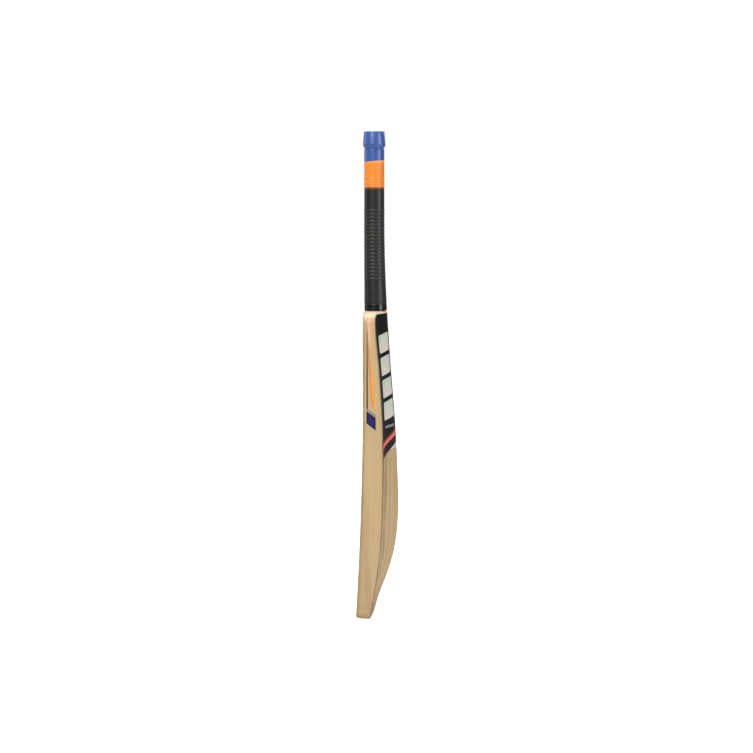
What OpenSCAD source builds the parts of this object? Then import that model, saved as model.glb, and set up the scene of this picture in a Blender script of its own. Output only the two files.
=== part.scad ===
// Cricket bat, full size, short handle.
// +Z runs up the handle's axis, X across the blade, -Y is the hitting face.
// The origin is the centre of the handle's flat end, so the bat hangs below z = 0.

/* [Overall] */
// Length from the handle's end to the toe
bat_length = 855; // [830:5:890]
// Length of the blade, toe to shoulder
blade_length = 545; // [530:5:560]
// Width of the blade across the face
blade_width = 108; // [100:1:108]

/* [Blade profile] */
// Distance of the flat face in front of the handle's axis
face_offset = 17; // [15:0.5:20]
// How far the toe comes forward of the face at the shoulder
face_bow = 13; // [0:1:20]
// Height of the middle of the face over its two arrises
face_crown = 2; // [0:0.5:3]
// Thickest edge
edge_max = 37.4; // [25:0.1:40]
// Deepest point of the spine over the face
depth_max = 63.8; // [55:0.1:67]
// Radius between the face and the edge
face_arris_r = 5.5; // [3:0.5:7]
// Radius between the edge and the back
back_arris_r = 2.5; // [1:0.5:4]
// Radius of the shoulder corners
shoulder_r = 18; // [10:1:25]
// Radius of the toe corners
toe_corner_r = 13; // [6:1:20]
// Rounding where the toe meets the faces
toe_round_r = 4; // [2:0.5:6]
// Rounding where the shoulder meets the faces
shoulder_round_r = 5; // [2:0.5:6]
// Tilt of the toe's flat underside, its back side lower
toe_tilt = 3.5; // [0:0.5:5]

/* [Handle] */
// Diameter of the bare cane handle
cane_d = 31; // [29:0.5:33]
// Thickness of one rubber spring
spring_t = 1.2; // [0.8:0.1:2]
// Spacing of the springs, front to back
spring_pitch = 7.5; // [6.5:0.1:8]
// Thickness of the twine binding
twine_t = 0.7; // [0.5:0.1:1]
// Depth of the V splice below the shoulder
splice_depth = 150; // [120:5:170]
// Width of the splice at the shoulder
splice_w = 39; // [36:0.5:42]
// How far the back of the handle flares out to meet the blade
flare_back = 5; // [0:0.5:6]

/* [Grip] */
// Wall of the rubber grip
grip_t = 1.2; // [1:0.1:2]
// Widest diameter of the end collar
collar_d = 39; // [38:0.5:43]
// Length of the end collar
collar_l = 28; // [20:1:35]
// Length of the collar with its neck
neck_end = 50.5; // [45:0.5:60]
// Distance from the handle's end to the foot of the coloured band
band_end = 99.5; // [90:0.5:120]
// Distance from the handle's end to the first rib
ribs_start = 132; // [120:1:150]
// Number of ribs
rib_count = 20; // [10:1:24]
// Pitch of the ribs
rib_pitch = 6.2; // [5:0.1:7]
// Height of a rib
rib_h = 0.6; // [0.3:0.1:1]
// Height of the tape round the grip's foot
tape_h = 11.5; // [8:0.5:16]
// Thickness of that tape
tape_t = 0.4; // [0.2:0.1:0.6]

/* [Labels] */
// Thickness of a label
label_t = 0.3; // [0.2:0.1:0.4]
// Half width of the back label
label_half_w = 50; // [46:1:50]
// Height of the black ground's foot at the spine
label_foot = 339; // [320:1:350]
// Height of the silver panels
panel_h = 32; // [20:1:34]
// Pitch of the silver panels
panel_pitch = 39; // [36:1:42]

/* [Hidden] */
half_w = blade_width / 2;
cane_r = cane_d / 2;
grip_gap = 0.05;
label_gap = 0.1;
cut = 400;

// Heights are measured up from the toe. Thickness along the blade, as shares of its length and of
// the greatest thickness: the edge, then the spine.
EDGE = [[0, 0.68], [0.11, 0.84], [0.22, 0.985], [0.37, 1], [0.51, 0.985], [0.66, 0.9],
        [0.81, 0.76], [0.92, 0.61], [1, 0.55]];
SPINE = [[0, 0.45], [0.06, 0.57], [0.13, 0.765], [0.2, 0.915], [0.28, 0.99], [0.35, 1],
         [0.48, 0.945], [0.62, 0.86], [0.81, 0.725], [1, 0.615]];
bow_start = 0.73;
bow_power = 1.8;

// ---- smooth curve through stations [place, value] ----
function slope(s, i) = let (a = max(i - 1, 0), b = min(i + 1, len(s) - 1))
  (s[b][1] - s[a][1]) / (s[b][0] - s[a][0]);
function seg(s, t, i = 0) = (i >= len(s) - 2 || t < s[i + 1][0]) ? i : seg(s, t, i + 1);
function curve(s, t) = let (i = seg(s, t), w = s[i + 1][0] - s[i][0], u = (t - s[i][0]) / w)
  (2*u*u*u - 3*u*u + 1) * s[i][1] + (u*u*u - 2*u*u + u) * w * slope(s, i)
  + (3*u*u - 2*u*u*u) * s[i + 1][1] + (u*u*u - u*u) * w * slope(s, i + 1);

// ---- blade surfaces, at height h over the toe and x across ----
function edge_t(h) = edge_max * curve(EDGE, h / blade_length);
function depth(h) = depth_max * curve(SPINE, h / blade_length);
function face_y(h) = -face_offset
  - face_bow * pow(max(0, 1 - h / (bow_start * blade_length)), bow_power);
function bell(u) = (1 + cos(180 * min(1, abs(u)))) / 2;
function front_y(h, x) = face_y(h) - face_crown * (1 - pow(x / half_w, 2));
function back_y(h, x) = face_y(h) + edge_t(h) + (depth(h) - edge_t(h)) * bell(x / half_w);

// Half width of the outline, with round corners at the shoulder and the toe
function corner(r, d) = r - sqrt(max(0, r * r - pow(max(0, r - d), 2)));
function outline(h) = half_w - corner(shoulder_r, blade_length - h) - corner(toe_corner_r, h);
// How far the faces are drawn in where the ends are rounded over
function round_in(h) = corner(toe_round_r, h) + corner(shoulder_round_r, blade_length - h);

// One closed outline across the blade
face_n = 8;
back_n = 20;
function arc(cx, cy, r, a0, a1, n) = [for (i = [0 : n]) let (a = a0 + (a1 - a0) * i / n)
  [cx + r * cos(a), cy + r * sin(a)]];
function section(h) = let (w = outline(h), e = round_in(h), ra = face_arris_r, rb = back_arris_r,
    xf = w - ra, xb = w - rb, yb = back_y(h, xb) - e - rb)
  concat(
    [for (i = [0 : face_n]) let (x = xf * (2 * i / face_n - 1)) [x, front_y(h, x) + e]],
    [for (p = arc(xf, front_y(h, xf) + e + ra, ra, -60, 0, 2)) p],
    [for (p = arc(xb, yb, rb, 0, 60, 2)) p],
    [for (i = [0 : back_n]) let (x = xb * (1 - 2 * i / back_n)) [x, back_y(h, x) - e]],
    [for (p = arc(-xb, yb, rb, 120, 180, 2)) p],
    [for (p = arc(-xf, front_y(h, xf) + e + ra, ra, 180, 240, 2)) p]);

// The toe's underside is a plane that drops towards the back; the tilt fades out over toe_fade
toe_back = back_y(0, 0) - round_in(0);
toe_fade = 60;
function toe_lift(h, y) = tan(toe_tilt) * (toe_back - y) * max(0, 1 - h / toe_fade);
function ring(h) = [for (p = section(h)) [p[0], p[1], h + toe_lift(h, p[1]) - bat_length]];

// ---- closed skins ----
// Rings stacked into a solid with flat ends
module loft(rings) {
  n = len(rings[0]);
  m = len(rings);
  polyhedron(
    points = [for (r = rings) each r],
    faces = concat(
      [[for (i = [0 : n - 1]) i]],
      [for (k = [0 : m - 2], i = [0 : n - 1]) let (j = (i + 1) % n, a = k * n, b = a + n)
        each [[a + i, b + i, b + j], [a + i, b + j, a + j]]],
      [[for (i = [n - 1 : -1 : 0]) (m - 1) * n + i]]));
}
// Rings joined into a closed tube wall: outer rings upwards, then inner rings downwards
module wall(rings) {
  n = len(rings[0]);
  m = len(rings);
  polyhedron(
    points = [for (r = rings) each r],
    faces = [for (k = [0 : m - 1], i = [0 : n - 1])
      let (j = (i + 1) % n, a = k * n, b = ((k + 1) % m) * n)
      each [[a + i, b + j, b + i], [a + i, a + j, b + j]]]);
}
// Two equal grids of points, the upper over the lower, closed round their edge
module slab(lower, upper) {
  c = len(lower[0]);
  r = len(lower);
  n = r * c;
  rim = concat([for (i = [0 : c - 2]) i], [for (k = [0 : r - 2]) k * c + c - 1],
    [for (i = [c - 1 : -1 : 1]) (r - 1) * c + i], [for (k = [r - 1 : -1 : 1]) k * c]);
  m = len(rim);
  polyhedron(
    points = concat([for (q = lower) each q], [for (q = upper) each q]),
    faces = concat(
      [for (k = [0 : r - 2], i = [0 : c - 2]) let (a = k * c + i)
        each [[a, a + 1, a + c + 1], [a, a + c + 1, a + c],
          [n + a, n + a + c + 1, n + a + 1], [n + a, n + a + c, n + a + c + 1]]],
      [for (i = [0 : m - 1]) let (a = rim[i], b = rim[(i + 1) % m])
        each [[b, a, n + a], [b, n + a, n + b]]]));
}

// ---- blade and splice ----
// Heights of the rings: close together round the toe and the shoulder, even between them
toe_steps = [0, 0.6, 1.8, 4, 8, 13];
shoulder_steps = [20, 14, 9, 5, 2.5, 1, 0];
middle_steps = 15;
middle_low = max(toe_steps);
middle_high = blade_length - max(shoulder_steps);
BLADE_H = concat(toe_steps,
  [for (i = [1 : middle_steps]) middle_low + (middle_high - middle_low) * i / (middle_steps + 1)],
  [for (d = shoulder_steps) blade_length - d]);
splice_foot = blade_length - splice_depth;
splice_tip_w = 3;

module blade_solid() loft([for (h = BLADE_H) ring(h)]);
module splice_prism(top = 0) translate([0, 0, -bat_length]) rotate([90, 0, 0])
  linear_extrude(height = cut, center = true)
    polygon([[-splice_tip_w / 2, splice_foot], [splice_tip_w / 2, splice_foot],
      [splice_w / 2, blade_length], [splice_w / 2, blade_length + top],
      [-splice_w / 2, blade_length + top], [-splice_w / 2, blade_length]]);

module blade() color("burlywood") difference() { blade_solid(); splice_prism(top = 10); }

// ---- handle ----
handle_n = 30;
flare_top = bat_length - 160;
flare_power = 1.7;
// 0 along the straight handle, 1 at the shoulder
function flare(h) = pow(max(0, min(1, (flare_top - h) / (flare_top - blade_length))), flare_power);
flare_side = splice_w / 2 - cane_r;
function handle_ring(h, grow) = let (f = flare(h),
    rx = cane_r + flare_side * f + grow, ry = cane_r + flare_back * f / 2 + grow,
    cy = flare_back * f / 2)
  [for (i = [0 : handle_n - 1]) let (a = -360 * i / handle_n)
    [rx * cos(a), cy + ry * sin(a), h - bat_length]];
flare_steps = 8;
HANDLE_H = [for (i = [0 : flare_steps])
  blade_length + (flare_top - blade_length) * i / flare_steps];

module handle_solid() {
  loft([for (h = concat(HANDLE_H, [bat_length]))
    [for (i = [handle_n - 1 : -1 : 0]) handle_ring(h, 0)[i]]]);
}
module core() {
  handle_solid();
  intersection() { blade_solid(); splice_prism(); }
}

// Slips are counted from the face, 1 to 4. Column -1 is left, 0 the centre, 1 right.
column_w = cane_d / 3;
function slip_front(s) = s == 1 ? -cut : (s - 3) * spring_pitch + spring_t / 2;
function slip_back(s) = s == 4 ? cut : (s - 2) * spring_pitch - spring_t / 2;
module cane(s, column) {
  x0 = column < 0 ? -cut : (column - 0.5) * column_w;
  x1 = column > 0 ? cut : (column + 0.5) * column_w;
  color(column == 0 ? "tan" : "wheat") intersection() {
    core();
    translate([x0, slip_front(s), -bat_length])
      cube([x1 - x0, slip_back(s) - slip_front(s), bat_length + 1]);
  }
}
module spring(place) color("dimgray") intersection() {
  core();
  translate([-cut, place * spring_pitch - spring_t / 2, -bat_length])
    cube([2 * cut, spring_t, bat_length + 1]);
}

module cane_1_left() cane(1, -1);
module cane_1_centre() cane(1, 0);
module cane_1_right() cane(1, 1);
module cane_2_left() cane(2, -1);
module cane_2_centre() cane(2, 0);
module cane_2_right() cane(2, 1);
module cane_3_left() cane(3, -1);
module cane_3_centre() cane(3, 0);
module cane_3_right() cane(3, 1);
module cane_4_left() cane(4, -1);
module cane_4_centre() cane(4, 0);
module cane_4_right() cane(4, 1);
module spring_front() spring(-1);
module spring_middle() spring(0);
module spring_back() spring(1);

// ---- binding and grip ----
foot_h = blade_length + 0.5;
binding_top = bat_length - 2;
grip_in = twine_t + grip_gap;
grip_r = cane_r + grip_in + grip_t;
squeeze = 0.5;
function above(h0) = [for (h = HANDLE_H) if (h > h0) h];
function tube(hs, inner, outer) = concat([for (h = hs) handle_ring(h, outer)],
  [for (i = [len(hs) - 1 : -1 : 0]) handle_ring(hs[i], inner)]);

module twine_binding() color("sienna")
  wall(tube(concat([foot_h], above(foot_h), [binding_top]), grip_gap / 2, twine_t));

module ring_solid(profile) rotate_extrude($fn = 96)
  polygon(concat([[cane_r + grip_in, profile[0][1]]], profile,
    [[cane_r + grip_in, profile[len(profile) - 1][1]]]));

collar_r = collar_d / 2;
module grip_collar() color("steelblue") ring_solid([
  [collar_r - 2.9, 0], [collar_r - 2.1, -0.4], [collar_r - 1.7, -1.5],
  [collar_r - 0.8, -0.35 * collar_l], [collar_r - 0.1, -0.7 * collar_l],
  [collar_r, -0.8 * collar_l], [collar_r - 0.3, -0.88 * collar_l],
  [grip_r + 0.4, -collar_l], [grip_r, -collar_l - 2], [grip_r, -neck_end]]);

band_ribs = 4;
band_rib_pitch = 4.3;
band_foot = 4;
module grip_band() color("orange") ring_solid(concat(
  [[grip_r, -neck_end]],
  [for (i = [0 : band_ribs - 1], s = [0, 0.5]) [grip_r + (s == 0 ? 0 : rib_h),
    -band_end + band_foot + band_rib_pitch * (band_ribs - i - s)]],
  [[grip_r, -band_end + band_foot], [grip_r, -band_end]]));

// Rubber over the binding: plain, then ribbed, then a plain foot squeezed under the tape, which
// ramps out again above it
ribs_end = ribs_start + rib_count * rib_pitch;
tape_top = foot_h + tape_h;
ramp_top = tape_top + 3;
sleeve_plain = [for (h = above(foot_h)) if (h > ramp_top && h < bat_length - ribs_end - 2) h];
sleeve_ribs = [for (i = [2 * rib_count : -1 : 0]) bat_length - ribs_start - i * rib_pitch / 2];
sleeve_h = concat([foot_h, tape_top, ramp_top], sleeve_plain, sleeve_ribs, [bat_length - band_end]);
sleeve_bore_h = concat([foot_h], above(foot_h), [bat_length - band_end]);
function is_crest(h) = let (d = (bat_length - ribs_start - h) / rib_pitch)
  d > 0.1 && d < rib_count && abs(d - floor(d) - 0.5) < 0.1;
module grip_sleeve() color([0.2, 0.19, 0.18]) wall(concat(
  [for (h = sleeve_h) handle_ring(h, grip_in + grip_t + (is_crest(h) ? rib_h : 0)
    - (h <= tape_top ? squeeze : 0))],
  [for (i = [len(sleeve_bore_h) - 1 : -1 : 0]) handle_ring(sleeve_bore_h[i], grip_in)]));
module grip_foot_tape() color([0.08, 0.08, 0.08])
  wall(tube([foot_h, foot_h + tape_h / 2, tape_top], grip_in + grip_t - squeeze + grip_gap,
    grip_in + grip_t - squeeze + grip_gap + tape_t));

// ---- labels on the back ----
function back_pt(x, h, off) = let (d = 0.5, s = (back_y(h, x + d) - back_y(h, x - d)) / (2 * d),
    k = sqrt(1 + s * s))
  [x - s * off / k, back_y(h, x) + off / k, h - bat_length];
// A skin between the curves low(x) and high(x), off the wood by lift
module back_skin(x0, x1, nx, nh, low, high, lift = label_gap) {
  function grid(off) = [for (k = [0 : nh]) [for (i = [0 : nx]) let (x = x1 + (x0 - x1) * i / nx)
    back_pt(x, low(x) + (high(x) - low(x)) * k / nh, off)]];
  slab(grid(lift), grid(lift + label_t));
}
function rise(drop, x) = -drop * abs(x) / label_half_w;
// The stripes fall away from the spine in a curve
sweep_power = 1.3;
function sweep(drop, x) = -drop * pow(abs(x) / label_half_w, sweep_power);
label_top = blade_length - 3.5;
shoulder_margin = 3.5;
function shoulder_line(x) = let (d = max(0, abs(x) - half_w + shoulder_r))
  blade_length - shoulder_r + sqrt(shoulder_r * shoulder_r - d * d);
stripe_drop = 23;
orange_foot = label_foot - 11;
purple_foot = orange_foot - 13;
purple_drop = 28;
white_depth = 12;
white_foot = purple_foot - white_depth;
white_half_w = label_half_w * pow(white_depth / purple_drop, 1 / sweep_power);

module back_label_ground() color([0.07, 0.08, 0.07])
  back_skin(-label_half_w, label_half_w, 20, 14, function (x) label_foot + sweep(stripe_drop, x),
    function (x) min(label_top, shoulder_line(x) - shoulder_margin));
module back_stripe_orange() color([0.84, 0.4, 0.33])
  back_skin(-label_half_w, label_half_w, 20, 1, function (x) orange_foot + sweep(stripe_drop, x),
    function (x) label_foot + sweep(stripe_drop, x));
module back_stripe_purple() color([0.2, 0.04, 0.12])
  back_skin(-label_half_w, label_half_w, 20, 1, function (x) purple_foot + sweep(purple_drop, x),
    function (x) orange_foot + sweep(stripe_drop, x));
module back_stripe_white() color([0.8, 0.87, 0.92])
  back_skin(-white_half_w + 1, white_half_w - 1, 10, 1, function (x) white_foot,
    function (x) purple_foot + sweep(purple_drop, x));

panel_rows = 4;
panel_foot = 353;
panel_x = [8, 39.5];
panel_slant = 9;
bar_x = [10, 38];
bar_slant = 1.5;
bar_low = 341;
bar_h = 4.5;
print_lift = label_gap + label_t;
module both_sides() { children(); mirror([1, 0, 0]) children(); }
module back_label_panels() color([0.8, 0.79, 0.76]) both_sides() for (i = [0 : panel_rows - 1])
  back_skin(panel_x[0], panel_x[1], 7, 3,
    function (x) panel_foot + i * panel_pitch + rise(panel_slant, x) + panel_slant,
    function (x) panel_foot + i * panel_pitch + panel_h + rise(panel_slant, x) + panel_slant,
    print_lift);
module back_label_bars() color([0.5, 0.5, 0.5]) both_sides()
  back_skin(bar_x[0], bar_x[1], 6, 1, function (x) bar_low + rise(bar_slant, x) + bar_slant,
    function (x) bar_low + bar_h + rise(bar_slant, x) + bar_slant, print_lift);

// ---- labels on the edges: outlines in [y, height] ----
module edge_skin(outline) translate([half_w, 0, -bat_length]) rotate([90, 0, 90])
  linear_extrude(height = label_t) polygon(outline);
edge_front = -face_offset + 6.2;
edge_back = edge_front + 16;
strip_top = blade_length - 12;
taper_low = 450;
taper_back = edge_front + 14;
band_line = [379, 368];
block_line = [374, 362];
block_foot = [353, 340];
module edge_strip_right() color([0.9, 0.62, 0.35]) edge_skin([[edge_front, band_line[0]],
  [edge_back, band_line[1]], [edge_back, taper_low], [taper_back, strip_top],
  [edge_front, strip_top]]);
module edge_band_right() color([0.75, 0.74, 0.72]) edge_skin([[edge_front, block_line[0]],
  [edge_back, block_line[1]], [edge_back, band_line[1]], [edge_front, band_line[0]]]);
module edge_block_right() color([0.2, 0.18, 0.45]) edge_skin([[edge_front, block_foot[0]],
  [edge_back, block_foot[1]], [edge_back, block_line[1]], [edge_front, block_line[0]]]);
module edge_strip_left() mirror([1, 0, 0]) edge_strip_right();
module edge_band_left() mirror([1, 0, 0]) edge_band_right();
module edge_block_left() mirror([1, 0, 0]) edge_block_right();

blade();
cane_1_left();
cane_1_centre();
cane_1_right();
cane_2_left();
cane_2_centre();
cane_2_right();
cane_3_left();
cane_3_centre();
cane_3_right();
cane_4_left();
cane_4_centre();
cane_4_right();
spring_front();
spring_middle();
spring_back();
twine_binding();
grip_collar();
grip_band();
grip_sleeve();
grip_foot_tape();
back_label_ground();
back_label_panels();
back_label_bars();
back_stripe_orange();
back_stripe_purple();
back_stripe_white();
edge_strip_left();
edge_strip_right();
edge_band_left();
edge_band_right();
edge_block_left();
edge_block_right();
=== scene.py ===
import bpy
import bmesh
import math
import numpy as np
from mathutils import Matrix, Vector


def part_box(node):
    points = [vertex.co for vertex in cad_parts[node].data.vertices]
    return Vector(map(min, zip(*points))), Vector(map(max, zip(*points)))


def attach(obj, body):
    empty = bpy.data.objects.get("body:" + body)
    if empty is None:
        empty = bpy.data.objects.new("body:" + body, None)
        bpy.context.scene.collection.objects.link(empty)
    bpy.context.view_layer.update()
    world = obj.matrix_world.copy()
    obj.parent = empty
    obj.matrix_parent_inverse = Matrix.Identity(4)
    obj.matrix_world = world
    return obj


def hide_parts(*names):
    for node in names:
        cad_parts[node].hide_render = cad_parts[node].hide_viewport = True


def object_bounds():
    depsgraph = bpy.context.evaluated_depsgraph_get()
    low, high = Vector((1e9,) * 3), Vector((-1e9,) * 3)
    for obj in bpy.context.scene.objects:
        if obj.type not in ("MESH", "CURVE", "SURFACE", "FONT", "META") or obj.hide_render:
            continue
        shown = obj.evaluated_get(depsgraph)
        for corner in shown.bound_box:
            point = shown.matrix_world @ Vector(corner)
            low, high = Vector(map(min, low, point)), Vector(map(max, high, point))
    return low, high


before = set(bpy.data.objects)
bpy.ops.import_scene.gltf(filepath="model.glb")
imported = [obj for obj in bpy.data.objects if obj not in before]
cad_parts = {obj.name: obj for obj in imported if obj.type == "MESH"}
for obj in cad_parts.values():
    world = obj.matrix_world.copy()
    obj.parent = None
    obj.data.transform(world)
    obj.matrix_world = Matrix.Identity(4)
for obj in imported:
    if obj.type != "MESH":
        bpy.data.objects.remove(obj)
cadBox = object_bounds()

# Heights in this script are metres above the toe, as on a bat maker's bench.
batLength = -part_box("blade")[0].z
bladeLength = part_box("blade")[1].z + batLength
print("frame loaded, bat", round(batLength, 3), "m long")


# Small tools for shapes.
def zAt(height):
    return height - batLength


def curveThrough(stations, t):  # smooth curve through [place, value] pairs
    px, py = np.array(stations, float).T
    before, after = np.maximum(np.arange(len(px)) - 1, 0), np.minimum(np.arange(len(px)) + 1, len(px) - 1)
    slope = (py[after] - py[before]) / (px[after] - px[before])
    i = np.clip(np.searchsorted(px, t, side="right") - 1, 0, len(px) - 2)
    w = px[i + 1] - px[i]
    u = (t - px[i]) / w
    return ((2 * u**3 - 3 * u**2 + 1) * py[i] + (u**3 - 2 * u**2 + u) * w * slope[i]
            + (3 * u**2 - 2 * u**3) * py[i + 1] + (u**3 - u**2) * w * slope[i + 1])


def cornerInset(radius, distance):  # how far a round corner draws in, this far from its end
    left = np.maximum(0, radius - distance)
    return radius - np.sqrt(np.maximum(0, radius**2 - left**2))


def addObject(name, data):
    obj = bpy.data.objects.new(name, data)
    bpy.context.scene.collection.objects.link(obj)
    return obj


def makeMesh(name, points, faces):
    mesh = bpy.data.meshes.new(name)
    mesh.from_pydata([tuple(p) for p in points], [], faces)
    mesh.validate()
    return addObject(name, mesh)


def addValues(mesh, name, values):  # a number at each point, for the finishes
    mesh.attributes.new(name, "FLOAT", "POINT").data.foreach_set("value", values.astype(np.float32))


def faceOutwards(obj):
    bm = bmesh.new()
    bm.from_mesh(obj.data)
    bmesh.ops.recalc_face_normals(bm, faces=bm.faces)
    bm.to_mesh(obj.data)
    bm.free()


def loftRings(name, rings, tube=False):  # rings stacked to a closed solid, or joined round to a tube wall
    count, size = len(rings), len(rings[0])
    faces = []
    for k in range(count if tube else count - 1):
        a, b = k * size, (k + 1) % count * size
        faces += [(a + i, a + (i + 1) % size, b + (i + 1) % size, b + i) for i in range(size)]
    if not tube:
        faces += [tuple(range(size))[::-1], tuple(range((count - 1) * size, count * size))]
    obj = makeMesh(name, np.concatenate(rings), faces)
    faceOutwards(obj)
    return obj


def smooth(obj, angle):
    obj.data.shade_smooth()
    obj.data.set_sharp_from_angle(angle=math.radians(angle))


def settle(obj):  # turns live modifiers into a plain mesh
    graph = bpy.context.evaluated_depsgraph_get()
    graph.update()
    made = obj.evaluated_get(graph)
    mesh = bpy.data.meshes.new_from_object(made, preserve_all_data_layers=True, depsgraph=graph)
    obj.modifiers.clear()
    old = obj.data
    obj.data = mesh
    bpy.data.meshes.remove(old)


def finishPiece(obj, nodeName, material):
    obj.data.materials.clear()
    obj.data.materials.append(material)
    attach(obj, "root")
    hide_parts(nodeName)


# Small tools for shader and geometry trees.
def feed(tree, socket, value):  # links a socket, or sets it to a constant
    if isinstance(value, bpy.types.NodeSocket):
        tree.links.new(value, socket)
    else:
        socket.default_value = value


def addNode(tree, kind, settings=None, inputs=None):
    node = tree.nodes.new(kind)
    for key, value in (settings or {}).items():
        setattr(node, key, value)
    for key, value in (inputs or {}).items():
        feed(tree, node.inputs[key], value)
    return node


def sums(tree, operation, *values):
    node = addNode(tree, "ShaderNodeMath", {"operation": operation})
    for socket, value in zip(node.inputs, values):
        feed(tree, socket, value)
    return node.outputs[0]


def plus(tree, first, second):
    return sums(tree, "ADD", first, second)


def minus(tree, first, second):
    return sums(tree, "SUBTRACT", first, second)


def times(tree, first, second):
    return sums(tree, "MULTIPLY", first, second)


def remap(tree, value, low, high, toLow=0.0, toHigh=1.0):
    node = addNode(tree, "ShaderNodeMapRange", {"interpolation_type": "SMOOTHSTEP"},
                   {"Value": value, "From Min": low, "From Max": high, "To Min": toLow, "To Max": toHigh})
    return node.outputs[0]


def mixColour(tree, factor, first, second, blend="MIX"):
    node = addNode(tree, "ShaderNodeMix", {"data_type": "RGBA", "blend_type": blend})
    for key, value in (("Factor_Float", factor), ("A_Color", first), ("B_Color", second)):
        socket = next(s for s in node.inputs if s.identifier == key)
        feed(tree, socket, (*value, 1) if isinstance(value, tuple) else value)
    return next(s for s in node.outputs if s.identifier == "Result_Color")


def stain(tree, shade, mask, strength, colour, blend="MIX"):  # colours a shade where the mask is
    return mixColour(tree, times(tree, mask, strength), shade, colour, blend)


def noiseAt(tree, vector, scale, detail=3.0, rough=0.5, stretch=(1, 1, 1)):
    place = addNode(tree, "ShaderNodeMapping", {}, {"Vector": vector, "Scale": stretch})
    return addNode(tree, "ShaderNodeTexNoise", {}, {
        "Vector": place.outputs[0], "Scale": scale, "Detail": detail, "Roughness": rough}).outputs["Fac"]


def separated(tree, coords):
    return addNode(tree, "ShaderNodeSeparateXYZ", {}, {"Vector": coords}).outputs


def attributeValue(tree, name):
    return addNode(tree, "ShaderNodeAttribute", {"attribute_name": name}).outputs["Fac"]


def srgb(red, green, blue):  # a colour chart value to the shader's linear value
    shares = (red / 255, green / 255, blue / 255)
    return tuple(v / 12.92 if v <= 0.04045 else ((v + 0.055) / 1.055) ** 2.4 for v in shares)


def newGroup(name, inputs, outputs):
    tree = bpy.data.node_groups.new(name, "ShaderNodeTree")
    for label, kind, value in inputs:
        socket = tree.interface.new_socket(label, in_out="INPUT", socket_type="NodeSocket" + kind)
        if value is not None:
            socket.default_value = value
    for label, kind in outputs:
        tree.interface.new_socket(label, in_out="OUTPUT", socket_type="NodeSocket" + kind)
    return tree, addNode(tree, "NodeGroupInput").outputs, addNode(tree, "NodeGroupOutput").inputs


def useGroup(tree, group, inputs):
    return addNode(tree, "ShaderNodeGroup", {"node_tree": group}, inputs)


def newMaterial(name, **fixed):
    material = bpy.data.materials.new(name)
    material.use_nodes = True
    tree = material.node_tree
    shader = tree.nodes["Principled BSDF"]
    for key, value in fixed.items():
        shader.inputs[key.replace("_", " ")].default_value = value
    coords = addNode(tree, "ShaderNodeTexCoord").outputs["Object"]
    return material, tree, shader, coords


def finishLook(tree, shader, colour, roughness, height, distance, strength):
    # the height becomes a bump this distance tall
    bump = addNode(tree, "ShaderNodeBump", {}, {
        "Height": height, "Strength": strength, "Distance": distance})
    feed(tree, shader.inputs["Base Color"], colour)
    feed(tree, shader.inputs["Roughness"], roughness)
    feed(tree, shader.inputs["Normal"], bump.outputs[0])


# Effects that several finishes share.
def makeWoodGrain():
    tree, given, out = newGroup("woodGrain", [
        ("Vector", "Vector", None), ("Ring Spacing", "Float", 0.009), ("Wander", "Float", 0.012),
        ("Light", "Color", (0.6, 0.45, 0.28, 1)), ("Dark", "Color", (0.35, 0.22, 0.11, 1)),
        ("Line Strength", "Float", 0.5)], [("Color", "Color"), ("Height", "Float"), ("Tone", "Float")])
    vector = given["Vector"]
    fineWander = 0.0012

    def centred(*noise):
        return minus(tree, noiseAt(tree, vector, *noise), 0.5)

    wander = times(tree, centred(9, 2, 0.45, (1.2, 1.2, 0.28)), given["Wander"])
    fine = times(tree, centred(60, 2, 0.5, (1, 1, 0.12)), fineWander)
    across = plus(tree, plus(tree, separated(tree, vector)["X"], wander), fine)
    ring = sums(tree, "DIVIDE", across, given["Ring Spacing"])
    part = sums(tree, "FRACT", ring)
    year = sums(tree, "FLOOR", ring)
    dice = addNode(tree, "ShaderNodeTexWhiteNoise", {"noise_dimensions": "1D"}, {"W": year})
    yearTone = dice.outputs["Value"]
    late = times(tree, remap(tree, part, 0.45, 0.93), remap(tree, part, 0.995, 0.955))
    line = times(tree, late, plus(tree, times(tree, yearTone, 0.55), 0.45))
    fibre = noiseAt(tree, vector, 900, 3, 0.6, (1, 1, 0.018))
    broad = noiseAt(tree, vector, 14, 3, 0.5, (1, 1, 0.25))
    flecks = remap(tree, noiseAt(tree, vector, 420, 2, 0.5, (1, 1, 0.06)), 0.66, 0.78)
    tone = times(tree, line, given["Line Strength"])
    for noise, strength in ((fibre, 0.5), (broad, 0.7)):
        tone = plus(tree, tone, times(tree, minus(tree, noise, 0.5), strength))
    tone = plus(tree, tone, times(tree, flecks, 0.28))
    tone = addNode(tree, "ShaderNodeClamp", {}, {"Value": plus(tree, tone, 0.12)}).outputs[0]
    height = minus(tree, times(tree, fibre, 0.6), times(tree, flecks, 0.5))
    height = minus(tree, height, times(tree, line, 0.35))
    feed(tree, out["Color"], mixColour(tree, tone, given["Light"], given["Dark"]))
    feed(tree, out["Height"], height)
    feed(tree, out["Tone"], tone)
    return tree


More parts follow.
